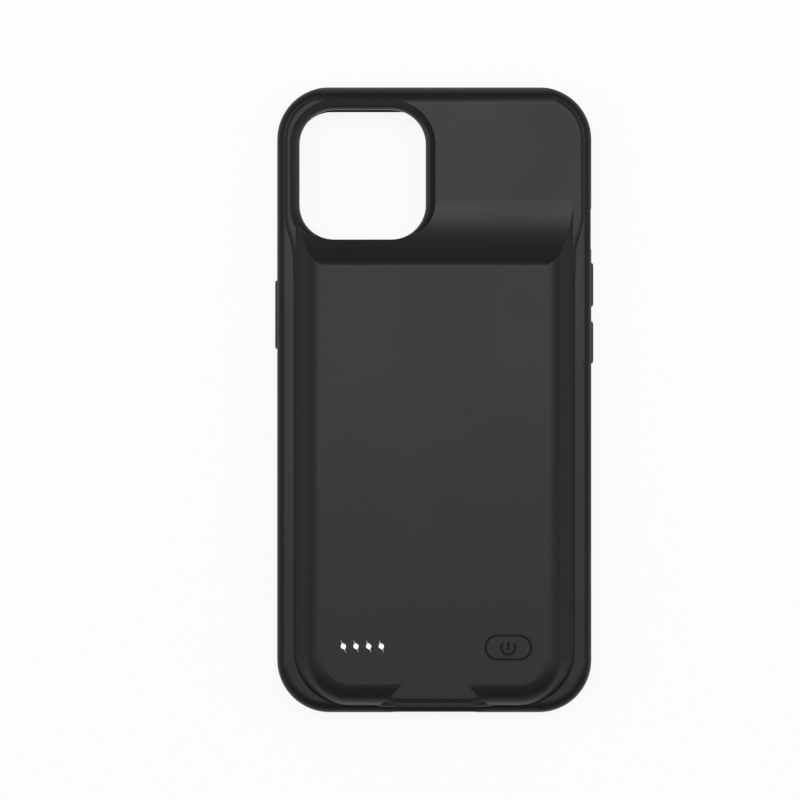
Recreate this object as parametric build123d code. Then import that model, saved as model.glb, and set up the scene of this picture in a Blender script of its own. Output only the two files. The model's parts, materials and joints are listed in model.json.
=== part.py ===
from build123d import *
import math
import os

# Battery charging case for a flat-sided phone, in millimetres.
# The case lies face down: z = 0 is the front of its lip and +Z is its back.
# +Y is the camera end and +X is the side with the volume keys.

# The phone that the pocket is made for
phone_width = 71.5
phone_length = 146.7
phone_thickness = 7.65
phone_corner = 10.0
phone_key_rise = 0.5

# Soft bumper frame
pocket_clearance = 0.1
side_wall = 2.8
end_wall = 3.45
lip_wall = 0.8
lip_width_side = 5.25
lip_width_end = 5.9
mouth_corner = 8.0
mouth_bevel_depth = 0.4
mouth_bevel_width = 0.9
front_edge_radius = 1.9
back_edge_radius = 2.6
rim_groove_inset = 1.75
rim_groove_width = 0.65
rim_groove_depth = 0.35
rim_step_inset = 3.7
rim_step_depth = 0.2

# Round ends, seen from the side
top_front_radius = 3.6
top_back_radius = 4.4
bottom_front_radius = 4.2

# Rear cover: brim, thin panel, ramp and battery hump
cover_inset = 1.55
cover_seam = 0.08
brim_rise = 0.55
skirt_depth = 0.65
panel_wall = 1.05
panel_edge_radius = 1.5
hump_inset = 3.55
hump_end_inset = 1.7
hump_corner = 14.0
hump_side_draft = 45.0
hump_end_draft = 8.0
hump_corner_draft = 34.0
hump_edge_radius = 5.5
ramp_foot_from_top = 27.5
ramp_crest_from_top = 43.6
crest_radius = 3.0
narrowing_start_from_top = 42.4
narrowing_end_from_top = 31.4

# Battery compartment
plate_wall = 0.7
compartment_height = 4.05
rear_wall = 1.1
compartment_side_wall = 2.4
compartment_end_wall = 2.8
compartment_edge_radius = 4.4
compartment_reach = 3.2
compartment_slope_inset = 0.3
compartment_slope_height = 1.35
plate_ledge = 0.8
plate_clearance = 0.1

# Camera window and its guard
window_width = 31.0
window_height = 31.9
window_from_side = 21.05
window_from_top = 21.65
window_corner = 8.5
guard_rise = 1.45
guard_land = 0.8
guard_slope = 1.6
guard_root = 0.3
guard_edge_chamfer = 0.35

# Brow and bezel over the charge socket
brow_width = 19.6
brow_base_width = 34.0
brow_end_inset = 2.6
brow_edge_radius = 1.2
brow_shoulder_radius = 6.0
bezel_width = 20.6
bezel_base_width = 30.0
bezel_drop = 0.8
bezel_edge_radius = 0.4
scoop_width = 27.0
scoop_slant = 2.0
port_recess_width = 21.6
port_recess_depth = 0.3
port_recess_height = 5.0
port_recess_drop = 1.25

# Side keys and the ringer window
key_from_lip = 3.6
key_height = 3.0
key_gap = 0.3
key_rise = 0.5
key_flange_wall = 0.6
key_flange_lap = 0.8
key_edge_chamfer = 0.3
volume_up_length = 11.4
volume_up_from_top = 48.6
volume_down_length = 11.0
volume_down_from_top = 62.8
side_key_length = 17.5
side_key_from_top = 55.95
ringer_length = 8.7
ringer_from_top = 34.95
ringer_height = 4.6
ringer_corner = 2.0
ringer_recess_depth = 0.55
ringer_recess_length = 10.1
ringer_recess_height = 6.0

# Speaker slots in the bottom wall
speaker_x = 19.0
speaker_length = 12.0
speaker_height = 2.0

# Power button and charge lights
button_from_side = 20.55
button_from_end = 16.2
button_hole_length = 11.8
button_hole_width = 6.5
button_gap = 0.35
button_flange_lap = 0.7
button_flange_wall = 0.5
button_sink = 0.05
button_travel = 0.3
button_edge_chamfer = 0.2
light_count = 4
light_from_side = 16.35
light_pitch = 3.1
light_from_end = 16.5
light_hole_radius = 0.65
light_clearance = 0.05
light_head_radius = 1.1
light_head_wall = 0.6
light_ray_length = 4.2
light_ray_width = 0.62
light_ray_angle = 112.0
led_length = 1.6
led_width = 0.8
led_height = 0.5

# Boards and what they carry
board_wall = 0.8
board_lift = 0.85
board_side_clearance = 2.2
board_end_clearance = 1.0
board_top_from_end = 19.4
chip_height = 0.9
chip_corner = 0.2
charge_chip_size = 4.0
charge_chip_x = 8.4
charge_chip_from_end = 13.3
boost_chip_size = 3.0
boost_chip_x = 3.0
boost_chip_from_end = 14.9
inductor_size = 4.4
inductor_height = 1.7
inductor_corner = 0.9
inductor_edge_chamfer = 0.25
inductor_x = -5.0
inductor_from_end = 12.5
capacitor_length = 1.6
capacitor_width = 0.8
capacitor_height = 0.8
capacitor_x_and_from_end = ((10.2, 17.3), (12.6, 13.3), (12.6, 11.5), (-9.6, 13.5), (-9.6, 11.7),
                            (-12.4, 12.5))
switch_size = 4.4
switch_height = 1.0
plunger_radius = 0.95
plunger_gap = 0.15
plunger_floor = 0.3
plunger_depth = 0.25
screw_radius = 0.65
screw_gap = 0.08
screw_head_radius = 1.3
screw_head_height = 0.8
screw_head_chamfer = 0.25
screw_boss_radius = 1.9
screw_tip = 0.35
upper_screw_from_side = 11.15
upper_screw_from_end = 16.9
lower_screw_from_side = 17.65
lower_screw_from_end = 7.9

# Battery cell, its tape, board, tabs and leads
cell_side_clearance = 4.2
cell_top_clearance = 2.3
cell_from_board = 5.5
cell_wall = 3.7
tape_wall = 0.15
tape_margin = 3.0
cell_edge_radius = 1.2
cell_corner = 2.0
terrace_length = 4.2
terrace_wall = 0.3
terrace_margin = 4.0
cell_board_width = 40.0
cell_board_length = 3.2
cell_board_gap = 0.5
tab_width = 4.0
tab_x = 10.0
lead_radius = 0.45
lead_x = 5.0
lead_shift = 1.2
lead_run = 3.4

# Charge socket
port_width = 8.9
port_height = 3.2
port_corner = 1.55
port_length = 7.0
port_wall = 0.3
port_gap = 0.1
port_lift = 0.4
port_sink = 0.15
port_depth = 5.6
tongue_width = 6.4
tongue_wall = 0.7
tongue_corner = 0.3
tongue_length = 4.4

# Phone plug
plug_width = 6.7
plug_wall = 1.4
plug_length = 6.6
plug_corner = 0.65
plug_tip_chamfer = 0.3
plug_base_width = 12.6
plug_base_height = 5.5
plug_base_depth = 1.0
plug_board_wall = 0.6
plug_board_extra = 3.0
plug_gap = 0.1
contact_count = 8
contact_pitch = 0.76
contact_width = 0.45
contact_length = 3.0
contact_wall = 0.05
contact_back = 0.9
flex_width = 2.6
flex_wall = 0.2
flex_bend = 0.6
flex_lap = 1.9

# Heights and half sizes that follow from them
pocket_width = phone_width + 2 * pocket_clearance
pocket_length = phone_length + 2 * pocket_clearance
pocket_corner = phone_corner + pocket_clearance
pocket_floor = lip_wall + phone_thickness + pocket_clearance
case_width = pocket_width + 2 * side_wall
case_length = pocket_length + 2 * end_wall
case_corner = pocket_corner + side_wall
cover_width = case_width - 2 * cover_inset
cover_length = case_length - 2 * cover_inset
cover_corner = case_corner - cover_inset
ledge_z = pocket_floor - skirt_depth
band_z = pocket_floor + brim_rise
panel_z = pocket_floor + panel_wall
plate_back = pocket_floor + plate_wall
ceiling_z = plate_back + compartment_height
hump_z = ceiling_z + rear_wall
half_width = case_width / 2
half_length = case_length / 2
pocket_end = -pocket_length / 2
board_bottom_z = plate_back + board_lift
board_top_z = board_bottom_z + board_wall
ramp_foot = half_length - ramp_foot_from_top
ramp_crest = half_length - ramp_crest_from_top
compartment_end = compartment_end_wall - half_length + hump_end_inset
compartment_side = half_width - hump_inset - compartment_side_wall
compartment_top = ramp_crest + compartment_reach
window_x = window_from_side - half_width
window_y = half_length - window_from_top
key_centre_z = lip_wall + key_from_lip
button_x = half_width - button_from_side
button_y = button_from_end - half_length
light_first_x = light_from_side - half_width
light_y = light_from_end - half_length
board_top_edge = board_top_from_end - half_length
cell_width = 2 * (compartment_side - cell_side_clearance)
cell_top = ramp_crest - cell_top_clearance
cell_bottom = board_top_edge + cell_from_board
port_centre_z = plate_back + port_lift + port_gap + port_height / 2
port_mouth = cover_inset + port_sink - half_length
plug_centre_z = lip_wall + (phone_thickness + pocket_clearance) / 2
past = 1.0


def rounded_block(width, length, corner, low, high, x=0.0, y=0.0):
    """Flat block with rounded corners between two heights."""
    outline = RectangleRounded(width, length, corner)
    return Pos(x, y, low) * extrude(outline, high - low)


def block(x_low, x_high, y_low, y_high, z_low, z_high):
    """Plain block between two corners."""
    size = Box(x_high - x_low, y_high - y_low, z_high - z_low)
    return Pos((x_low + x_high) / 2, (y_low + y_high) / 2, (z_low + z_high) / 2) * size


def hump_outline(width, bottom, top, corner):
    """Outline with two rounded corners at the bottom end and square ones at the top."""
    outline = Pos(0, (bottom + top) / 2) * Rectangle(width, top - bottom)
    return fillet(outline.vertices().group_by(Axis.Y)[0], corner)


def drafted_block(half, bottom, top, corner, low, high):
    """Block whose sides lean in far more than its bottom end, with rounded bottom corners."""
    rise = high - low
    crown_half = half - rise * math.tan(math.radians(hump_side_draft))
    crown_bottom = bottom + rise * math.tan(math.radians(hump_end_draft))
    crown_corner = corner - rise * math.tan(math.radians(hump_corner_draft))
    foot = Pos(0, 0, low) * hump_outline(2 * half, bottom, top, corner)
    crown = Pos(0, 0, high) * hump_outline(2 * crown_half, crown_bottom, top, crown_corner)
    return loft([foot.face(), crown.face()], ruled=True)


def profile_corner(face, y, z):
    """The corner of a side profile that lies nearest to a point."""
    return face.vertices().sort_by_distance(Vector(0, y, z))[0]


def side_envelope():
    """The whole case seen from its side: round ends, thin panel, ramp and hump."""
    rise = hump_z - panel_z
    run = ramp_foot - ramp_crest
    sweep = 2 * math.atan2(rise, run)
    radius = run / math.sin(sweep)
    halfway = (ramp_foot - radius * math.sin(sweep / 2), panel_z + radius * (1 - math.cos(sweep / 2)))
    with BuildSketch(Plane.YZ) as profile:
        with BuildLine():
            Polyline((ramp_crest, hump_z), (-half_length, hump_z), (-half_length, 0))
            Polyline((-half_length, 0), (half_length, 0), (half_length, panel_z), (ramp_foot, panel_z))
            ThreePointArc((ramp_foot, panel_z), halfway, (ramp_crest, hump_z))
        make_face()
    face = profile.sketch.face()
    face = fillet(profile_corner(face, half_length, 0), top_front_radius).face()
    face = fillet(profile_corner(face, half_length, panel_z), top_back_radius).face()
    face = fillet(profile_corner(face, -half_length, 0), bottom_front_radius).face()
    face = fillet(profile_corner(face, ramp_crest, hump_z), crest_radius).face()
    return extrude(face, half_width + past, both=True)


def base_form(envelope):
    """Frame and brim together, up to the band round the hump."""
    body = rounded_block(case_width, case_length, case_corner, 0, band_z)
    body = fillet(body.edges().group_by(Axis.Z)[0], front_edge_radius)
    body = fillet(body.edges().group_by(Axis.Z)[-1], back_edge_radius)
    return body & envelope


def key_pill(length, height, x_low, x_high, y, z):
    """Pill-shaped bar that runs through a side wall along X."""
    pill = Plane.YZ * SlotOverall(length, height)
    return Pos(x_low, y, z) * extrude(pill, x_high - x_low)


def key_cutter(length, from_top):
    """Slot for a key in the +X wall, with the wider seat for its flange inside."""
    middle = half_length - from_top
    seat = half_width - side_wall + phone_key_rise + key_flange_wall + pocket_clearance
    slot = key_pill(length, key_height + 2 * key_gap, 0, half_width + past, middle, key_centre_z)
    lap = key_flange_lap + key_gap
    wide = key_pill(length + 2 * lap, key_height + 2 * (key_gap + lap), 0, seat, middle, key_centre_z)
    reach = length / 2 + lap
    wall = block(half_width - side_wall - past, half_width + past, middle - reach, middle + reach, 0, panel_z)
    return (slot + wide) & wall


def side_key(slot_length, from_top):
    """Key cap with its flange, standing proud of the +X wall."""
    length = slot_length - 2 * key_gap
    middle = half_length - from_top
    seat = half_width - side_wall + phone_key_rise + key_flange_wall + pocket_clearance
    flange_low = seat - key_flange_wall
    cap = key_pill(length, key_height, flange_low, half_width + key_rise, middle, key_centre_z)
    cap = chamfer(cap.edges().group_by(Axis.X)[-1], key_edge_chamfer)
    lap = 2 * key_flange_lap
    return cap + key_pill(length + lap, key_height + lap, flange_low, seat, middle, key_centre_z)


def ringer_window():
    """Opening over the phone's ringer switch, in a shallow outer recess with slanted ends."""
    middle = half_length - ringer_from_top
    outline = Plane.YZ * RectangleRounded(ringer_length, ringer_height, ringer_corner)
    hole = Pos(half_width - side_wall - past, middle, key_centre_z)
    hole = hole * extrude(outline, side_wall + 2 * past)
    floor = half_width - ringer_recess_depth
    low = middle - ringer_recess_length / 2 + ringer_recess_depth
    high = middle + ringer_recess_length / 2 - ringer_recess_depth
    reach = past + ringer_recess_depth
    with BuildSketch(Plane.XY) as plan:
        with BuildLine():
            Polyline((floor, low), (floor, high), (floor + reach, high + reach),
                     (floor + reach, low - reach), close=True)
        make_face()
    recess = extrude(plan.sketch, ringer_recess_height)
    return hole + Pos(0, 0, key_centre_z - ringer_recess_height / 2) * recess


def make_bumper_frame(envelope):
    """Soft frame: side walls, front lip, key slots, plug seat and sound slots."""
    body = base_form(envelope)
    body -= rounded_block(cover_width, cover_length, cover_corner, ledge_z, panel_z)
    body -= rounded_block(pocket_width, pocket_length, pocket_corner, lip_wall, panel_z)
    mouth_width = case_width - 2 * lip_width_side
    mouth_length = case_length - 2 * lip_width_end
    body -= rounded_block(mouth_width, mouth_length, mouth_corner, -past, pocket_floor)
    step = rounded_block(case_width - 2 * rim_step_inset, case_length - 2 * rim_step_inset,
                         case_corner - rim_step_inset, -past, rim_step_depth)
    bevel = RectangleRounded(mouth_width + 2 * mouth_bevel_width, mouth_length + 2 * mouth_bevel_width,
                             mouth_corner + mouth_bevel_width)
    slope = math.degrees(math.atan2(mouth_bevel_width, mouth_bevel_depth))
    body -= step
    body -= Pos(0, 0, rim_step_depth) * extrude(bevel, mouth_bevel_depth, taper=slope)
    groove_end = rim_groove_inset + rim_groove_width
    groove = rounded_block(case_width - 2 * rim_groove_inset, case_length - 2 * rim_groove_inset,
                           case_corner - rim_groove_inset, -past, rim_groove_depth)
    groove -= rounded_block(case_width - 2 * groove_end, case_length - 2 * groove_end,
                            case_corner - groove_end, -past, rim_groove_depth)
    body -= groove
    body -= key_cutter(volume_up_length, volume_up_from_top)
    body -= key_cutter(volume_down_length, volume_down_from_top)
    body -= mirror(key_cutter(side_key_length, side_key_from_top), about=Plane.YZ)
    body -= ringer_window()
    body -= plug_seat()
    body -= port_scoop()
    sound = Plane.XZ * SlotOverall(speaker_length, speaker_height)
    for x in (-speaker_x, speaker_x):
        body -= Pos(x, pocket_end + past, plug_centre_z) * extrude(sound, end_wall + 2 * past)
    return body


def plug_seat():
    """Seat in the bottom wall for the plug base and the small board behind it."""
    half = plug_base_width / 2 + plug_gap
    low = plug_centre_z - plug_base_height / 2 - plug_gap
    base = block(-half, half, pocket_end - plug_base_depth, pocket_end + past, low, ledge_z + past)
    back = pocket_end - plug_base_depth - plug_board_wall - plug_gap
    board = block(-half, half + plug_board_extra, back, pocket_end - plug_base_depth, low, ledge_z + past)
    return base + board


def port_scoop():
    """Scoop in the frame's back edge under the charge socket, and a shallow finger recess."""
    inner = half_length - cover_inset
    half = scoop_width / 2
    with BuildSketch(Plane.XY.offset(ledge_z)) as plan:
        with BuildLine():
            Polyline((-half + scoop_slant, -inner), (half - scoop_slant, -inner),
                     (half, -half_length - past), (-half, -half_length - past), close=True)
        make_face()
    scoop = extrude(plan.sketch, panel_z)
    pill = Plane.XZ * SlotOverall(port_recess_width, port_recess_height)
    recess = Pos(0, port_recess_depth - half_length, ledge_z - port_recess_drop)
    return scoop + recess * extrude(pill, past + port_recess_depth)


def make_side_key_left():
    """The single key on the -X side."""
    return mirror(side_key(side_key_length, side_key_from_top), about=Plane.YZ)


def raised_panel():
    """Thin panel round the camera window, narrowing to the width of the hump below it."""
    wide = cover_width / 2 - cover_seam
    top = cover_length / 2 - cover_seam
    corner = cover_corner - cover_seam
    narrow = half_width - hump_inset
    narrowing_start = half_length - narrowing_start_from_top
    narrowing_end = half_length - narrowing_end_from_top
    bottom = narrowing_start - panel_edge_radius * 3
    middle = ((wide + narrow) / 2, (narrowing_start + narrowing_end) / 2)
    corner_middle = (wide - corner * (1 - math.sqrt(0.5)), top - corner * (1 - math.sqrt(0.5)))
    with BuildSketch(Plane.XY.offset(ledge_z)) as plan:
        with BuildLine() as right:
            Polyline((0, bottom), (narrow, bottom), (narrow, narrowing_start))
            TangentArc((narrow, narrowing_start), middle, tangent=(0, 1))
            TangentArc((wide, narrowing_end), middle, tangent=(0, -1))
            Line((wide, narrowing_end), (wide, top - corner))
            ThreePointArc((wide, top - corner), corner_middle, (wide - corner, top))
            Line((wide - corner, top), (0, top))
            mirror(right.line, about=Plane.YZ)
        make_face()
    body = extrude(plan.sketch, panel_z - ledge_z)
    return fillet(body.edges().group_by(Axis.Z)[-1], panel_edge_radius)


def hump_body():
    """Battery hump before the ramp is cut, with sloping sides and a large soft edge."""
    bottom = hump_end_inset - half_length
    top = ramp_foot + hump_edge_radius
    body = drafted_block(half_width - hump_inset, bottom, top, hump_corner, pocket_floor, hump_z)
    return fillet(body.edges().group_by(Axis.Z)[-1].sort_by(Axis.Y)[:-1], hump_edge_radius)


def brow_bar(top_width, base_width, top_z, end_y, shoulder):
    """Bar along Y with sloping sides, ending square over the charge socket."""
    with BuildSketch(Plane.XZ) as section:
        with BuildLine():
            Polyline((-top_width / 2, top_z), (top_width / 2, top_z), (base_width / 2, pocket_floor),
                     (-base_width / 2, pocket_floor), close=True)
        make_face()
    face = fillet(section.sketch.vertices().group_by(Axis.Z)[-1], shoulder)
    start = end_y + hump_corner
    return Pos(0, start, 0) * extrude(face, start - end_y)


def brow():
    """Brow over the socket with the lower bezel that frames the socket's mouth."""
    outer_end = brow_end_inset - half_length
    bar = brow_bar(brow_width, brow_base_width, hump_z, outer_end, brow_shoulder_radius)
    end_edges = bar.edges().filter_by_position(Axis.Y, outer_end - 0.01, outer_end + 0.01)
    bar = fillet(end_edges.filter_by_position(Axis.Z, band_z, hump_z + past), brow_edge_radius)
    bezel_end = cover_seam + cover_inset - half_length
    bezel_top = hump_z - bezel_drop
    bezel = brow_bar(bezel_width, bezel_base_width, bezel_top, bezel_end, brow_shoulder_radius)
    bezel_edges = bezel.edges().filter_by_position(Axis.Y, bezel_end - 0.01, bezel_end + 0.01)
    bezel = fillet(bezel_edges.filter_by_position(Axis.Z, band_z, hump_z), bezel_edge_radius)
    return bar + bezel


def camera_guard():
    """Raised lip round the camera window, with a soft outer slope."""
    slope = math.degrees(math.atan2(guard_slope, guard_rise))
    root = guard_land + guard_slope * (1 + guard_root / guard_rise)
    outline = RectangleRounded(window_width + 2 * root, window_height + 2 * root, window_corner + root)
    lip = extrude(outline, guard_rise + guard_root, taper=slope)
    lip = chamfer(lip.edges().group_by(Axis.Z)[-1], guard_edge_chamfer)
    return Pos(window_x, window_y, panel_z - guard_root) * lip


def compartment():
    """Hollow for the battery and the board, with a roof that follows the hump and the ramp."""
    corner = hump_corner - compartment_side_wall
    top = compartment_top + compartment_edge_radius * 2
    body = drafted_block(compartment_side, compartment_end, top, corner, plate_back, ceiling_z)
    body = fillet(body.edges().group_by(Axis.Z)[-1].sort_by(Axis.Y)[:-1], compartment_edge_radius)
    slope_foot = plate_back + compartment_slope_height
    slope_crest = ramp_crest - compartment_slope_inset
    with BuildSketch(Plane.YZ) as profile:
        with BuildLine():
            Polyline((-half_length, plate_back), (compartment_top, plate_back), (compartment_top, slope_foot),
                     (slope_crest, ceiling_z), (-half_length, ceiling_z), close=True)
        make_face()
    return body & extrude(profile.sketch, half_width, both=True)


def plate_outline(clearance):
    """Outline of the inner plate, or of its rebate when the clearance is nothing."""
    width = 2 * (compartment_side + plate_ledge - clearance)
    bottom = compartment_end - plate_ledge + clearance
    top = compartment_top + plate_ledge - clearance
    return hump_outline(width, bottom, top, hump_corner - compartment_side_wall + plate_ledge)


def light_outline(grow):
    """Window of one charge light: a dot with a thin slanted ray that ends in two points."""
    tip_angle = math.atan2(light_ray_width, light_ray_length)
    reach = light_ray_length / 2 + grow / math.sin(tip_angle)
    half = light_ray_width / 2 + grow / math.cos(tip_angle)
    ray = Polygon((reach, 0), (0, half), (-reach, 0), (0, -half), rotation=light_ray_angle)
    return Circle(light_hole_radius + grow) + ray


def light_positions():
    """Centres of the charge lights."""
    return [(light_first_x + i * light_pitch, light_y) for i in range(light_count)]


def make_rear_cover(envelope):
    """Hard rear cover in one moulding: brim, thin panel, guard, ramp, hump and brow."""
    clear_width = cover_width - 2 * cover_seam
    clear_length = cover_length - 2 * cover_seam
    seat = rounded_block(clear_width, clear_length, cover_corner - cover_seam, ledge_z, band_z + past)
    body = base_form(envelope) & seat
    body += raised_panel() & envelope
    body += hump_body() & envelope
    body += brow()
    body += camera_guard()
    body -= rounded_block(pocket_width, pocket_length, pocket_corner, 0, pocket_floor)
    body -= Pos(0, 0, pocket_floor) * extrude(plate_outline(0), plate_wall)
    body -= compartment()
    window_low = pocket_floor - past
    body -= rounded_block(window_width, window_height, window_corner, window_low, hump_z + past,
                          window_x, window_y)
    hole = SlotOverall(button_hole_length, button_hole_width)
    body -= Pos(button_x, button_y, ceiling_z - past) * extrude(hole, rear_wall + 2 * past)
    for x, y in light_positions():
        body -= Pos(x, y, ceiling_z - past) * extrude(light_outline(0), rear_wall + 2 * past)
    mouth = Plane.XZ * RectangleRounded(port_width + 2 * port_gap, port_height + 2 * port_gap,
                                        port_corner + port_gap)
    body -= Pos(0, port_mouth + port_length + port_gap, port_centre_z) * extrude(mouth, port_length + past)
    return body - flex_channel()


def flex_channel():
    """Channel through the cover's end wall for the flexible cable from the plug."""
    left = plug_base_width / 2 + plug_gap
    right = left + plug_board_extra
    outer = pocket_end - plug_base_depth - flex_wall - plug_gap * 2
    return block(left, right, outer, compartment_end + past, ledge_z - past, board_bottom_z)


def screw_points():
    """Places of the four board screws, two beside the cell end and two beside the socket."""
    upper = (half_width - upper_screw_from_side, upper_screw_from_end - half_length)
    lower = (half_width - lower_screw_from_side, lower_screw_from_end - half_length)
    return [(side * x, y) for x, y in (upper, lower) for side in (-1, 1)]


def make_inner_plate():
    """Flat plate between the phone and the battery, with four bosses for the board."""
    body = Pos(0, 0, pocket_floor) * extrude(plate_outline(plate_clearance), plate_wall)
    for x, y in screw_points():
        body += Pos(x, y, plate_back) * extrude(Circle(screw_boss_radius), board_lift)
        depth = plate_wall + board_lift - screw_tip
        body -= Pos(x, y, board_bottom_z - depth) * extrude(Circle(screw_radius + screw_gap), depth)
    return body


def make_cell_tape():
    """Double-sided tape between the plate and the cell."""
    length = cell_top - cell_bottom - 2 * tape_margin
    middle = (cell_top + cell_bottom) / 2
    return rounded_block(cell_width - 2 * tape_margin, length, cell_corner, plate_back,
                         plate_back + tape_wall, 0, middle)


def make_battery_cell():
    """Flat pouch cell with rounded long edges and its sealed terrace at the bottom end."""
    low = plate_back + tape_wall
    middle = (cell_top + cell_bottom) / 2
    body = rounded_block(cell_width, cell_top - cell_bottom, cell_corner, low, low + cell_wall, 0, middle)
    body = fillet(body.edges().group_by(Axis.Z)[-1], cell_edge_radius)
    half = cell_width / 2 - terrace_margin
    return body + block(-half, half, cell_bottom - terrace_length, cell_bottom + cell_corner,
                        low, low + terrace_wall)


def cell_board_edges():
    """Low and high Y of the protection board on the cell's terrace."""
    high = cell_bottom - cell_board_gap
    return high - cell_board_length, high


def make_cell_board():
    """Protection board of the cell."""
    low, high = cell_board_edges()
    half = cell_board_width / 2
    return block(-half, half, low, high, board_bottom_z, board_top_z)


def make_cell_tabs():
    """Two welded tabs between the terrace and the protection board."""
    low, high = cell_board_edges()
    bottom = plate_back + tape_wall + terrace_wall
    tabs = [block(x - tab_width / 2, x + tab_width / 2, low, high, bottom, board_bottom_z)
            for x in (-tab_x, tab_x)]
    return Compound(tabs)


def make_lead(side):
    """One short lead that lies on both boards and is soldered to them."""
    low, high = cell_board_edges()
    start = (side * lead_x, (low + high) / 2, board_top_z + lead_radius)
    bend = (side * lead_x, start[1] - lead_run, start[2])
    end = (side * (lead_x + lead_shift), bend[1] - lead_run, start[2])
    turn = math.atan2(lead_shift, lead_run)
    radius = 0.45 * lead_run / math.tan(turn / 2)
    path = FilletPolyline(start, bend, end, radius=radius)
    section = Plane(origin=start, z_dir=(0, -1, 0)) * Circle(lead_radius)
    return sweep(section, path=path)


def make_main_board():
    """Charging board with a notch for the socket, screw holes and no part on its edge."""
    width = 2 * (compartment_side - board_side_clearance)
    bottom = compartment_end + board_end_clearance
    corner = hump_corner - compartment_side_wall - board_end_clearance
    outline = hump_outline(width, bottom, board_top_edge, corner)
    notch_half = port_width / 2 + port_gap
    notch_top = port_mouth + port_length + port_gap
    body = Pos(0, 0, board_bottom_z) * extrude(outline, board_wall)
    body -= block(-notch_half, notch_half, bottom - past, notch_top, 0, hump_z)
    for x, y in screw_points():
        body -= Pos(x, y, board_bottom_z) * extrude(Circle(screw_radius + screw_gap), board_wall)
    return body


def board_part(x, y, width, length, height, corner):
    """Small moulded part that stands on the main board."""
    return rounded_block(width, length, corner, board_top_z, board_top_z + height, x, y)


def make_chip(x, from_end, size):
    """Square chip package."""
    return board_part(x, from_end - half_length, size, size, chip_height, chip_corner)


def make_inductor():
    """Moulded coil of the step-up supply."""
    y = inductor_from_end - half_length
    body = board_part(inductor_x, y, inductor_size, inductor_size, inductor_height, inductor_corner)
    return chamfer(body.edges().group_by(Axis.Z)[-1], inductor_edge_chamfer)


def make_capacitors():
    """Small ceramic capacitors beside the two chips."""
    body = Box(capacitor_length, capacitor_width, capacitor_height)
    middle_z = board_top_z + capacitor_height / 2
    return Compound([Pos(x, from_end - half_length, middle_z) * body
                     for x, from_end in capacitor_x_and_from_end])


def make_tact_switch():
    """Body of the push switch, with the well that its plunger slides in."""
    body = board_part(button_x, button_y, switch_size, switch_size, switch_height, chip_corner)
    well = extrude(Circle(plunger_radius + plunger_gap), switch_height)
    return body - Pos(button_x, button_y, board_top_z + plunger_floor) * well


def make_switch_plunger():
    """Plunger between the switch and the underside of the button."""
    top = ceiling_z - button_flange_wall
    bottom = board_top_z + plunger_floor + button_travel + plunger_depth / 2
    return Pos(button_x, button_y, bottom) * extrude(Circle(plunger_radius), top - bottom)


def make_power_button():
    """Pill-shaped button cap with a flange that is held under the cover."""
    length = button_hole_length - 2 * button_gap
    width = button_hole_width - 2 * button_gap
    low = ceiling_z - button_flange_wall
    cap = Pos(button_x, button_y, low) * extrude(SlotOverall(length, width), hump_z - button_sink - low)
    cap = chamfer(cap.edges().group_by(Axis.Z)[-1], button_edge_chamfer)
    lap = 2 * button_flange_lap
    flange = SlotOverall(button_hole_length + lap, button_hole_width + lap)
    return cap + Pos(button_x, button_y, low) * extrude(flange, button_flange_wall)


def make_led(x, y):
    """One surface-mounted charge light."""
    return block(x - led_length / 2, x + led_length / 2, y - led_width / 2, y + led_width / 2,
                 board_top_z, board_top_z + led_height)


def make_light_pipe(x, y):
    """Clear pipe that fills one light window, with a head under the cover."""
    low = board_top_z + led_height + light_clearance
    pipe = Pos(x, y, low) * extrude(Circle(light_hole_radius - light_clearance), hump_z - low)
    ray = Pos(x, y, ceiling_z) * extrude(light_outline(-light_clearance), rear_wall)
    head_low = ceiling_z - light_head_wall
    return pipe + ray + Pos(x, y, head_low) * extrude(Circle(light_head_radius), light_head_wall)


def port_outline(shrink):
    """Flat oval section of the charge socket."""
    return RectangleRounded(port_width - 2 * shrink, port_height - 2 * shrink,
                            port_corner - shrink)


def make_charge_port_shell():
    """Drawn metal shell of the charge socket, closed at its back."""
    shell = Plane.XZ * port_outline(0)
    hollow = Plane.XZ * port_outline(port_wall)
    body = Pos(0, port_mouth + port_length, port_centre_z) * extrude(shell, port_length)
    return body - Pos(0, port_mouth + port_depth, port_centre_z) * extrude(hollow, port_depth + past)


def make_charge_port_tongue():
    """Contact tongue inside the charge socket."""
    back = port_mouth + port_depth
    tongue = Plane.XZ * RectangleRounded(tongue_width, tongue_wall, tongue_corner)
    return Pos(0, back, port_centre_z) * extrude(tongue, tongue_length)


def make_plug_base():
    """Moulded base that holds the phone plug in the bottom wall."""
    half = plug_base_width / 2
    low = plug_centre_z - plug_base_height / 2
    body = block(-half, half, pocket_end - plug_base_depth, pocket_end, low, low + plug_base_height)
    hole = Plane.XZ * RectangleRounded(plug_width, plug_wall, plug_corner)
    return body - Pos(0, pocket_end, plug_centre_z) * extrude(hole, plug_base_depth)


def make_plug_board():
    """Small upright board behind the plug base."""
    half = plug_base_width / 2
    low = plug_centre_z - plug_base_height / 2
    high = pocket_end - plug_base_depth
    return block(-half, half + plug_board_extra, high - plug_board_wall, high,
                 low, low + plug_base_height)


def make_phone_plug():
    """Flat plug that stands up into the pocket and enters the phone."""
    section = Plane.XZ * RectangleRounded(plug_width, plug_wall, plug_corner)
    tip = pocket_end + plug_length
    length = plug_length + plug_base_depth
    body = Pos(0, tip, plug_centre_z) * extrude(section, length)
    tip_edges = body.edges().group_by(Axis.Y)[-1]
    return chamfer(tip_edges, plug_tip_chamfer)


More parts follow.
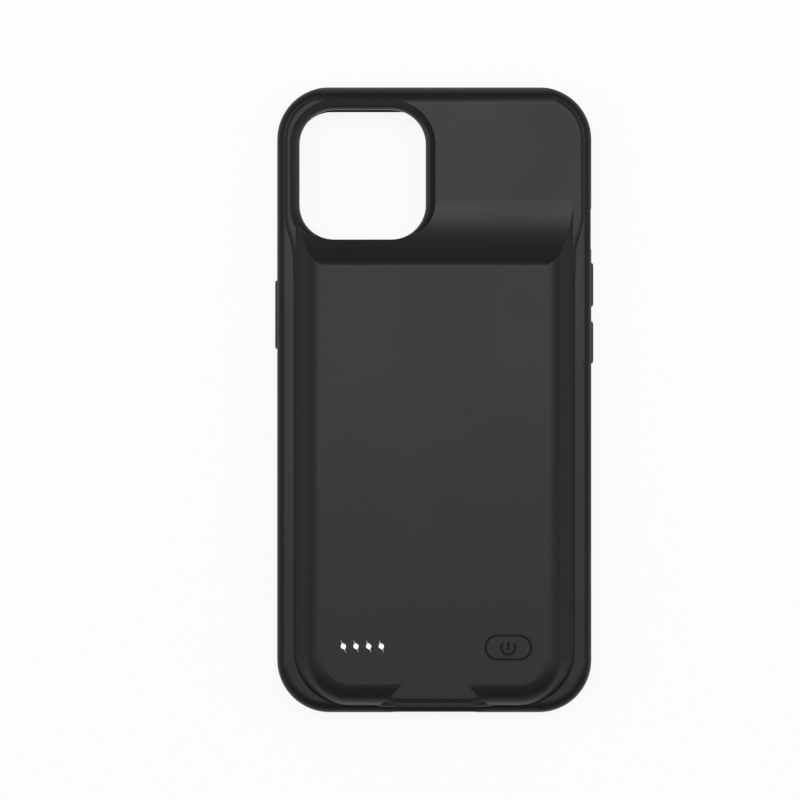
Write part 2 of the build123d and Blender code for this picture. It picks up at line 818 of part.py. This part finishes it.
def make_plug_contacts():
    """Contact pads on both faces of the plug."""
    first = -contact_pitch * (contact_count - 1) / 2
    high = pocket_end + plug_length - contact_back
    pads = []
    for i in range(contact_count):
        x = first + i * contact_pitch
        for low in (plug_centre_z + plug_wall / 2, plug_centre_z - plug_wall / 2 - contact_wall):
            pads.append(block(x - contact_width / 2, x + contact_width / 2, high - contact_length, high,
                              low, low + contact_wall))
    return Compound(pads)


def make_flex_cable():
    """Flexible cable from the plug board, through the end wall, to the underside of the main board."""
    y = pocket_end - plug_base_depth - flex_wall / 2
    low = plug_centre_z + plug_base_height / 2
    high = board_bottom_z - flex_wall / 2
    with BuildSketch(Plane.YZ) as section:
        with BuildLine():
            FilletPolyline((y, low), (y, high), (compartment_end + board_end_clearance + flex_lap, high),
                           radius=flex_bend)
        trace(line_width=flex_wall)
    left = plug_base_width / 2 + plug_gap + (plug_board_extra - flex_width) / 2
    return Pos(left, 0, 0) * extrude(section.sketch, flex_width)


def make_board_screws():
    """Four screws that hold the main board on the bosses."""
    screws = []
    for x, y in screw_points():
        length = board_wall + board_lift + plate_wall - 2 * screw_tip
        shank = Pos(x, y, board_top_z - length) * extrude(Circle(screw_radius), length)
        head = Pos(x, y, board_top_z) * extrude(Circle(screw_head_radius), screw_head_height)
        head = chamfer(head.edges().group_by(Axis.Z)[-1], screw_head_chamfer)
        screws.append(shank + head)
    return Compound(screws)


def save(shape, name):
    """Write one piece as its own file."""
    export_step(shape, f"parts/{name}.step")


os.makedirs("parts", exist_ok=True)
case_envelope = side_envelope()
save(make_bumper_frame(case_envelope), "bumper_frame")
save(make_rear_cover(case_envelope), "rear_cover")
save(make_inner_plate(), "inner_plate")
save(make_cell_tape(), "cell_tape")
save(make_battery_cell(), "battery_cell")
save(make_cell_board(), "cell_board")
save(make_cell_tabs(), "cell_tabs")
save(make_lead(-1), "lead_negative")
save(make_lead(1), "lead_positive")
save(make_main_board(), "main_board")
save(make_chip(charge_chip_x, charge_chip_from_end, charge_chip_size), "charge_chip")
save(make_chip(boost_chip_x, boost_chip_from_end, boost_chip_size), "boost_chip")
save(make_inductor(), "inductor")
save(make_capacitors(), "capacitors")
save(make_tact_switch(), "tact_switch")
save(make_switch_plunger(), "switch_plunger")
save(make_power_button(), "power_button")
for number, (light_x, light_centre_y) in enumerate(light_positions(), start=1):
    save(make_led(light_x, light_centre_y), f"led_{number}")
    save(make_light_pipe(light_x, light_centre_y), f"light_pipe_{number}")
save(make_charge_port_shell(), "charge_port_shell")
save(make_charge_port_tongue(), "charge_port_tongue")
save(make_plug_base(), "plug_base")
save(make_plug_board(), "plug_board")
save(make_phone_plug(), "phone_plug")
save(make_plug_contacts(), "plug_contacts")
save(make_flex_cable(), "flex_cable")
save(make_board_screws(), "board_screws")
save(side_key(volume_up_length, volume_up_from_top), "volume_up_key")
save(side_key(volume_down_length, volume_down_from_top), "volume_down_key")
save(make_side_key_left(), "side_key")
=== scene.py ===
# %% [markdown]
# A battery charging case lies face down on a pale table, and the camera looks straight down on its back.
# The case itself comes from the frame: its shells, keys and boards are already there at their real size.
# What is left for this script is what the eye reads first: the fine matt skin of the mouldings,
# the sign on the power button, the four lights, the light in the room and the camera.

# %% The frame
import bmesh
import bpy
import json
import math
from mathutils import Matrix, Vector


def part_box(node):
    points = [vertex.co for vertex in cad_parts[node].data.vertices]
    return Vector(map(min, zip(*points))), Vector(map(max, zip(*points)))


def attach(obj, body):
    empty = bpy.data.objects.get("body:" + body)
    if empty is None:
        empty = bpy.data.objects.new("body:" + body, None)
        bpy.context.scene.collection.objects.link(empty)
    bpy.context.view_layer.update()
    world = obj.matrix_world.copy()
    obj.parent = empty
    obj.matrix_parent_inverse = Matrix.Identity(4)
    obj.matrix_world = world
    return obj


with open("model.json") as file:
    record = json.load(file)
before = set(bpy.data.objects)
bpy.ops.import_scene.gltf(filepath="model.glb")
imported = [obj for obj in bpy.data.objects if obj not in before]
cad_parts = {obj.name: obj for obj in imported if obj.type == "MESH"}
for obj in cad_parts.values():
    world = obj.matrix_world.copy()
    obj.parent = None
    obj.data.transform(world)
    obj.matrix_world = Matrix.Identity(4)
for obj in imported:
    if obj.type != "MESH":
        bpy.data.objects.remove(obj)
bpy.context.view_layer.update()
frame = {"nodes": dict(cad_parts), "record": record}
nodes = frame["nodes"]

# %% [markdown]
# Every length below is written in millimetres and turned to metres once, and every colour is written as it
# would be picked on a screen and turned to linear light once. That keeps the numbers readable.

# %% Units and colours
MM = 0.001


def linear(hex_colour):
    """An sRGB hex colour as linear red, green, blue and a full alpha."""
    parts = [int(hex_colour[i:i + 2], 16) / 255 for i in (1, 3, 5)]
    return tuple(c / 12.92 if c <= 0.04045 else ((c + 0.055) / 1.055) ** 2.4 for c in parts) + (1.0,)


print("black plastic in linear light", [round(c, 4) for c in linear("#1a1a1b")])

# %% [markdown]
# A material is a small graph of nodes. One helper adds a node with its settings and links, so that each
# material below reads as a list of what feeds what. Patterns are laid out on Object coordinates: they are
# metres in the frame, so a grain of 0.3 mm is the same grain on every piece.

# %% One helper for nodes


def add(tree, kind, settings=None, **inputs):
    """Add one node; a value sets an input and a socket is linked to it."""
    node = tree.nodes.new(kind)
    for name, value in (settings or {}).items():
        setattr(node, name, value)
    for name, value in inputs.items():
        socket = node.inputs[int(name[1:])] if name[1:].isdigit() else node.inputs[name.replace("_", " ")]
        if isinstance(value, bpy.types.NodeSocket):
            tree.links.new(value, socket)
        else:
            socket.default_value = value
    return node


def new_material(name):
    """A node material with its shader and output, and the Object coordinate to build on."""
    material = bpy.data.materials.new(name)
    material.use_nodes = True
    tree = material.node_tree
    tree.nodes.clear()
    shader = add(tree, "ShaderNodeBsdfPrincipled")
    output = add(tree, "ShaderNodeOutputMaterial")
    tree.links.new(shader.outputs["BSDF"], output.inputs["Surface"])
    place = add(tree, "ShaderNodeTexCoord").outputs["Object"]
    return material, tree, shader, place


def set_shader(shader, **values):
    """Set plain values on the shader's own sockets."""
    for name, value in values.items():
        shader.inputs[name.replace("_", " ")].default_value = value


# %% [markdown]
# The shells are moulded in a tool whose steel was spark eroded, which leaves a fine even grain of about
# 0.1 mm on the plastic. It scatters light, so broad highlights stay soft. The grain is too fine for this
# picture, so the noise is drawn at 0.35 mm, shallow, and a second, much wider noise lets the roughness
# wander a little, as the skin of a real moulding does.

# %% Moulded plastic
GRAIN = 0.35 * MM
FLOW = 22 * MM
GRAIN_STRENGTH = 0.25
ROUGHNESS_DRIFT = 0.03
PLASTIC_IOR = 1.5


def grained(name, colour, roughness, depth, shine):
    """Moulded plastic or elastomer with a spark-eroded grain, which traps part of the shine."""
    material, tree, shader, place = new_material(name)
    grain = add(tree, "ShaderNodeTexNoise", Vector=place, Scale=1 / GRAIN, Detail=2.0, Roughness=0.55)
    flow = add(tree, "ShaderNodeTexNoise", Vector=place, Scale=1 / FLOW, Detail=1.0)
    rough = add(tree, "ShaderNodeMapRange", Value=flow.outputs["Fac"], From_Min=0.3, From_Max=0.7,
                To_Min=roughness - ROUGHNESS_DRIFT, To_Max=roughness + ROUGHNESS_DRIFT)
    bump = add(tree, "ShaderNodeBump", Height=grain.outputs["Fac"], Strength=GRAIN_STRENGTH, Distance=depth)
    tree.links.new(rough.outputs["Result"], shader.inputs["Roughness"])
    tree.links.new(bump.outputs["Normal"], shader.inputs["Normal"])
    set_shader(shader, Base_Color=linear(colour), IOR=PLASTIC_IOR, Specular_IOR_Level=shine)
    return material


# The cover is nearly black and fine matt, with one broad soft highlight.
hard_skin = grained("Polycarbonate blend, spark-eroded mould", "#1a1a1b", 0.36, 0.02 * MM, 0.26)
# The soft frame is a little duller than the cover, as elastomers are.
soft_skin = grained("Thermoplastic elastomer, satin mould", "#19191a", 0.42, 0.015 * MM, 0.22)
# The plate inside the pocket is flat black and hardly shines.
plate_skin = grained("Polycarbonate, plain mould", "#1d1d1e", 0.5, 0.02 * MM, 0.26)
# The key caps look like the cover, with a shallower grain.
key_skin = grained("Polycarbonate, satin key caps", "#1a1a1b", 0.36, 0.01 * MM, 0.26)
print("skins", hard_skin.name, "|", soft_skin.name)

# %% [markdown]
# The pieces that are sealed inside get their real finishes too, because a model that comes apart shows
# them: embossed foil on the cell, solder mask on the boards, plated steel, fired ceramic and moulded resin.

# %% Metals
DRAWN_LINE = 0.15 * MM
DRAWN_DEPTH = 0.005 * MM
DRAWN_DRIFT = 0.08


def metal(name, colour, roughness, stretch):
    """Plated or drawn metal, with fine lines along one axis from the tool that formed it."""
    material, tree, shader, place = new_material(name)
    lines = add(tree, "ShaderNodeMapping", Vector=place, Scale=stretch)
    drawn = add(tree, "ShaderNodeTexNoise", Vector=lines.outputs["Vector"], Scale=1 / DRAWN_LINE, Detail=2.0)
    rough = add(tree, "ShaderNodeMapRange", Value=drawn.outputs["Fac"], To_Min=roughness - DRAWN_DRIFT,
                To_Max=roughness + DRAWN_DRIFT)
    bump = add(tree, "ShaderNodeBump", Height=drawn.outputs["Fac"], Strength=0.2, Distance=DRAWN_DEPTH)
    tree.links.new(rough.outputs["Result"], shader.inputs["Roughness"])
    tree.links.new(bump.outputs["Normal"], shader.inputs["Normal"])
    set_shader(shader, Base_Color=linear(colour), Metallic=1.0)
    return material


# The socket, the plug, the tabs and the screws are bright grey with a satin shine.
steel = metal("Nickel-plated steel, drawn", "#b4b3af", 0.28, (1.0, 0.08, 1.0))
# The plug's contacts are warm yellow and a little brighter.
gold = metal("Gold-plated copper alloy, stamped", "#e0b560", 0.25, (1.0, 0.1, 1.0))
print("metals", steel.name, "|", gold.name)

# %% Cell foil
DIAMOND = 1.2 * MM
DIAMOND_DEPTH = 0.05 * MM
DIAMOND_TURN = math.radians(45)


def cell_foil():
    """Aluminium laminate with the shallow diamond embossing of a pouch cell."""
    material, tree, shader, place = new_material("Aluminium laminate, embossed pouch")
    turned = add(tree, "ShaderNodeMapping", Vector=place, Rotation=(0.0, 0.0, DIAMOND_TURN))
    pattern = add(tree, "ShaderNodeTexVoronoi", {"distance": "CHEBYCHEV"}, Vector=turned.outputs["Vector"],
                  Scale=1 / DIAMOND, Randomness=0.0)
    bump = add(tree, "ShaderNodeBump", Height=pattern.outputs["Distance"], Strength=0.4,
               Distance=DIAMOND_DEPTH)
    tree.links.new(bump.outputs["Normal"], shader.inputs["Normal"])
    set_shader(shader, Base_Color=linear("#c2c3c5"), Metallic=1.0, Roughness=0.35)
    return material


foil = cell_foil()
print("foil", foil.name)

# %% Circuit boards
WEAVE = 1.0 * MM
WEAVE_GAP = 0.06
WEAVE_DEPTH = 0.01 * MM


def solder_mask():
    """Green mask over glass-fibre laminate: the weave shows as a faint square pattern."""
    material, tree, shader, place = new_material("Solder mask over glass-fibre laminate")
    weave = add(tree, "ShaderNodeTexBrick", {"offset": 0.5}, Vector=place, Scale=1 / WEAVE,
                Color1=linear("#0f3a22"), Color2=linear("#124227"), Mortar=linear("#0b2e1a"),
                Mortar_Size=WEAVE_GAP)
    bump = add(tree, "ShaderNodeBump", Height=weave.outputs["Fac"], Strength=0.3, Distance=WEAVE_DEPTH)
    tree.links.new(weave.outputs["Color"], shader.inputs["Base Color"])
    tree.links.new(bump.outputs["Normal"], shader.inputs["Normal"])
    set_shader(shader, Roughness=0.28, IOR=1.5)
    return material


board = solder_mask()
print("board", board.name)

# %% Small inner parts
SPECKLE_DEPTH = 0.01 * MM
PLAIN_SHINE = 0.5


def speckled(name, colour, second, size, roughness, shine=PLAIN_SHINE):
    """Pressed, fired or moulded material with a fine speckle of two tones."""
    material, tree, shader, place = new_material(name)
    speckle = add(tree, "ShaderNodeTexNoise", Vector=place, Scale=1 / size, Detail=3.0)
    tone = add(tree, "ShaderNodeMix", {"data_type": "RGBA"}, _0=speckle.outputs["Fac"],
               _6=linear(colour), _7=linear(second))
    bump = add(tree, "ShaderNodeBump", Height=speckle.outputs["Fac"], Strength=0.2,
               Distance=SPECKLE_DEPTH)
    tree.links.new(tone.outputs[2], shader.inputs["Base Color"])
    tree.links.new(bump.outputs["Normal"], shader.inputs["Normal"])
    set_shader(shader, Roughness=roughness, IOR=1.5, Specular_IOR_Level=shine)
    return material


# Chip resin is dull black.
resin = speckled("Epoxy, moulded round the chip", "#1a1a1b", "#202021", 0.1 * MM, 0.6)
# Ferrite is dark grey and quite matt, as pressed powder is.
ferrite = speckled("Ferrite, pressed and fired", "#38383a", "#434345", 0.15 * MM, 0.7)
# The capacitors are smooth and light brown.
ceramic = speckled("Ceramic, fired layers", "#8a6f52", "#957a5c", 0.2 * MM, 0.5)
# Foam tape is off-white and soft.
tape = speckled("Acrylic foam tape", "#e6e4dd", "#dcdad2", 0.3 * MM, 0.8)
# Polyimide film shows amber over its copper, with a satin shine.
film = speckled("Polyimide film, copper clad", "#8c5a1c", "#9a6524", 0.5 * MM, 0.35)
# The two leads are soft rubber, one red and one black.
red_rubber = speckled("Silicone rubber, extruded, red", "#a51d1d", "#8f1818", 0.2 * MM, 0.55)
black_rubber = speckled("Silicone rubber, extruded, black", "#161617", "#1c1c1d", 0.2 * MM, 0.55)
print("inner finishes", resin.name, "|", ferrite.name)

# %% [markdown]
# The finishes go onto the frame's own pieces by their slots. No mesh is touched.

# %% Finishes on the frame's pieces
FINISHES = {
    "soft_frame": soft_skin, "hard_cover": hard_skin, "inner_plate": plate_skin, "key_caps": key_skin,
    "pouch_foil": foil, "white_tape": tape, "circuit_board": board, "chip_resin": resin,
    "ferrite": ferrite, "ceramic_part": ceramic, "nickel_steel": steel, "gold_contacts": gold,
    "red_lead": red_rubber, "black_lead": black_rubber, "amber_film": film,
}
slot_of = {part["node"]: part["material_slot"] for part in frame["record"]["subparts"]}
for node_name, node in nodes.items():
    finish = FINISHES.get(slot_of[node_name])
    if finish:
        for material_slot in node.material_slots:
            material_slot.material = finish
print("dressed", sum(slot_of[name] in FINISHES for name in nodes), "of", len(nodes))

# %% [markdown]
# A charge light is a clear pipe lit from below by a small diode. The middle of the pipe is over the diode
# and shines white with the diode's own light. The faint glow along the thin ray that crosses it is a painted
# glint, not light the diode sends there. The strength is a function of the distance from the pipe's own
# middle.

# %% Charge lights
LIGHT_COUNT = 4
LIGHT_CORE = 0.5 * MM
LIGHT_REACH = 1.0 * MM
# Emission at the far end of the ray, as a share of the core: the level of the painted glint.
PAINTED_GLINT_LEVEL = 0.22


def lit_pipe(name, centre):
    """Clear diffuser that shines from its middle, with a painted glint that fades along its ray."""
    material, tree, shader, place = new_material(name)
    flat = add(tree, "ShaderNodeMapping", Vector=place, Location=(-centre.x, -centre.y, 0.0),
               Scale=(1.0, 1.0, 0.0))
    away = add(tree, "ShaderNodeVectorMath", {"operation": "LENGTH"}, _0=flat.outputs["Vector"])
    # Past the core, the emission is a painted glint along the ray; the core itself is the diode's light.
    fade = add(tree, "ShaderNodeMapRange", {"interpolation_type": "SMOOTHERSTEP"},
               Value=away.outputs["Value"], From_Min=LIGHT_CORE, From_Max=LIGHT_REACH, To_Min=1.0,
               To_Max=PAINTED_GLINT_LEVEL)
    tree.links.new(fade.outputs["Result"], shader.inputs["Emission Strength"])
    set_shader(shader, Base_Color=linear("#4c4e50"), Roughness=0.3, IOR=1.49,
               Emission_Color=linear("#fbfcff"))
    return material


for number in range(1, LIGHT_COUNT + 1):
    low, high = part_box(f"light_pipe_{number}")
    lamp = lit_pipe(f"Acrylic light pipe {number}, lit", (low + high) / 2)
    for name in (f"light_pipe_{number}", f"led_{number}"):
        for material_slot in nodes[name].material_slots:
            material_slot.material = lamp
print("lights", LIGHT_COUNT, "length of one over its corners mm", round((high - low).length / MM, 2))

# %% [markdown]
# The sign on the button is the plain power sign: a ring open at the top, with a short bar in the gap. It is
# made as pad printing, a skin of ink thinner than a hair and a little darker than the plastic round it. An
# edge spun round the button's middle gives the ring as a flat ribbon, a stretched grid gives the bar, and
# lifting both by the thickness of the ink closes them.

# %% The power sign
SIGN_RADIUS = 1.7 * MM
SIGN_LINE = 0.58 * MM
SIGN_OPENING = math.radians(100)
SIGN_STEPS = 48
BAR_TOP = 1.55 * MM
BAR_BOTTOM = -0.7 * MM
INK = 0.03 * MM
INK_ROOT = 0.02 * MM
END_ROUNDING = 0.7
END_STEPS = 4
button_low, button_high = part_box("power_button")
button_middle = (button_low + button_high) / 2


def power_sign():
    """Ring and bar of ink on the button's face."""
    shape = bmesh.new()
    half = SIGN_LINE / 2
    start = math.pi / 2 + SIGN_OPENING / 2
    ray = Vector((math.cos(start), math.sin(start), 0.0))
    inner = shape.verts.new(ray * (SIGN_RADIUS - half))
    outer = shape.verts.new(ray * (SIGN_RADIUS + half))
    edge = shape.edges.new((inner, outer))
    bmesh.ops.spin(shape, geom=[inner, outer, edge], cent=(0, 0, 0), axis=(0, 0, 1),
                   angle=2 * math.pi - SIGN_OPENING, steps=SIGN_STEPS, use_merge=False)
    middle = Matrix.Translation((0, (BAR_TOP + BAR_BOTTOM) / 2, 0))
    size = Matrix.Diagonal((SIGN_LINE, BAR_TOP - BAR_BOTTOM, 1, 1))
    bmesh.ops.create_grid(shape, x_segments=1, y_segments=1, size=0.5, matrix=middle @ size)
    ends = [v for v in shape.verts if len(v.link_edges) == 2]
    bmesh.ops.bevel(shape, geom=ends, offset=half * END_ROUNDING, segments=END_STEPS, profile=0.5,
                    affect="VERTICES", material=-1)
    faces = shape.faces[:]
    bmesh.ops.recalc_face_normals(shape, faces=faces)
    lifted = bmesh.ops.extrude_face_region(shape, geom=faces, use_keep_orig=True)
    top = [v for v in lifted["geom"] if isinstance(v, bmesh.types.BMVert)]
    bmesh.ops.translate(shape, verts=top, vec=(0, 0, INK + INK_ROOT))
    bmesh.ops.recalc_face_normals(shape, faces=shape.faces[:])
    seat = Vector((button_middle.x, button_middle.y, button_high.z - INK_ROOT))
    bmesh.ops.translate(shape, verts=shape.verts[:], vec=seat)
    mesh = bpy.data.meshes.new("power_sign")
    shape.to_mesh(mesh)
    shape.free()
    sign = bpy.data.objects.new("power_sign", mesh)
    bpy.context.scene.collection.objects.link(sign)
    return sign


# Pad-printing ink dries flat, so the sign reads as a darker mark on the satin cap.
ink = speckled("Pad-printing ink, dark grey", "#121213", "#161617", 0.2 * MM, 0.8, 0.2)
sign = power_sign()
sign.data.materials.append(ink)
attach(sign, "power_button")
print("sign faces", len(sign.data.polygons), "size mm", [round(v / MM, 2) for v in sign.dimensions])

# %% [markdown]
# The table is one large pale plane. Seen straight on it is nearly pure white, as in a catalogue picture,
# yet a tenth of it is still an ordinary diffuse surface, so that the case keeps a faint shadow. Glossy and
# clear surfaces see the same white.

# %% The table
TABLE_SIZE = 4.0
WHITE_SHARE = 0.9


def table_finish():
    """Matt white board that the camera sees as nearly white."""
    material = bpy.data.materials.new("Matt white board")
    material.use_nodes = True
    tree = material.node_tree
    tree.nodes.clear()
    output = add(tree, "ShaderNodeOutputMaterial")
    matt = add(tree, "ShaderNodeBsdfDiffuse", Color=linear("#f1f1f0"))
    white = add(tree, "ShaderNodeEmission", Color=(1, 1, 1, 1), Strength=1.0)
    rays = add(tree, "ShaderNodeLightPath")
    seen = add(tree, "ShaderNodeMath", {"operation": "MAXIMUM"}, _0=rays.outputs["Is Camera Ray"],
               _1=rays.outputs["Is Glossy Ray"])
    seen = add(tree, "ShaderNodeMath", {"operation": "MAXIMUM"}, _0=seen.outputs[0],
               _1=rays.outputs["Is Transmission Ray"])
    share = add(tree, "ShaderNodeMath", {"operation": "MULTIPLY"}, _0=seen.outputs[0], _1=WHITE_SHARE)
    blend = add(tree, "ShaderNodeMixShader", _0=share.outputs[0], _1=matt.outputs["BSDF"],
                _2=white.outputs["Emission"])
    tree.links.new(blend.outputs["Shader"], output.inputs["Surface"])
    return material


surface = bpy.data.meshes.new("table")
shape = bmesh.new()
bmesh.ops.create_grid(shape, x_segments=1, y_segments=1, size=TABLE_SIZE / 2)
shape.to_mesh(surface)
shape.free()
table = bpy.data.objects.new("table", surface)
table.data.materials.append(table_finish())
bpy.context.scene.collection.objects.link(table)
print("table m", TABLE_SIZE)

# %% [markdown]
# The picture was lit by one broad soft box, hung over the camera end of the case with its near edge right
# above the middle. So the flat back shows the edge of the box, the crest and the thin panel catch its full
# light, and the ramp darkens as it turns away from it. A large dim box at each side fills the shadows, so
# that the sides darken slowly as they fall away.

# %% Lights


def soft_box(name, size, place, strength):
    """A rectangular lamp that points at the case; strength is the radiance of its face."""
    data = bpy.data.lights.new(name, "AREA")
    data.shape = "RECTANGLE"
    data.size, data.size_y = size
    data.energy = strength * math.pi * size[0] * size[1]
    lamp = bpy.data.objects.new(name, data)
    lamp.location = place
    lamp.rotation_euler = (-Vector(place)).to_track_quat("-Z", "Y").to_euler()
    bpy.context.scene.collection.objects.link(lamp)
    return lamp


HEIGHT = 1.6
KEY_SIZE = (2.6, 0.8)
KEY_SHIFT = 0.36
KEY_LEVEL = 3.5
FILL_SIZE = (1.8, 2.2)
FILL_AWAY = 2.2
FILL_LEVEL = 0.65
ROOM_LEVEL = 0.2
soft_box("key_box", KEY_SIZE, (0.0, KEY_SHIFT, HEIGHT), KEY_LEVEL)
for side, name in ((-1, "left_fill"), (1, "right_fill")):
    soft_box(name, FILL_SIZE, (side * FILL_AWAY, 0.0, HEIGHT), FILL_LEVEL)

world = bpy.data.worlds.new("room")
bpy.context.scene.world = world
world.use_nodes = True
room = world.node_tree.nodes["Background"]
room.inputs["Color"].default_value = (1, 1, 1, 1)
room.inputs["Strength"].default_value = ROOM_LEVEL

# %% [markdown]
# The camera hangs straight over the case with a long lens, as for a catalogue. The photograph measures
# 0.2457 mm to the pixel, and the middle of the case lies a little right of the picture's middle.

# %% The camera
PICTURE = 800
PIXEL = 0.2457 * MM
CASE_PIXEL_X = 434.3
CASE_PIXEL_Y = 399.7
CAMERA_HEIGHT = 1.6
SENSOR = 36.0
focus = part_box("bumper_frame")[1].z
lens = bpy.data.cameras.new("camera")
lens.sensor_width = SENSOR
lens.lens = SENSOR * (CAMERA_HEIGHT - focus) / (PICTURE * PIXEL)
lens.clip_end = 20.0
camera = bpy.data.objects.new("camera", lens)
camera.location = ((PICTURE / 2 - CASE_PIXEL_X) * PIXEL, (CASE_PIXEL_Y - PICTURE / 2) * PIXEL, CAMERA_HEIGHT)
bpy.context.scene.collection.objects.link(camera)
bpy.context.scene.camera = camera
bpy.context.scene.view_settings.view_transform = "Standard"
print("lens mm", round(lens.lens, 1))
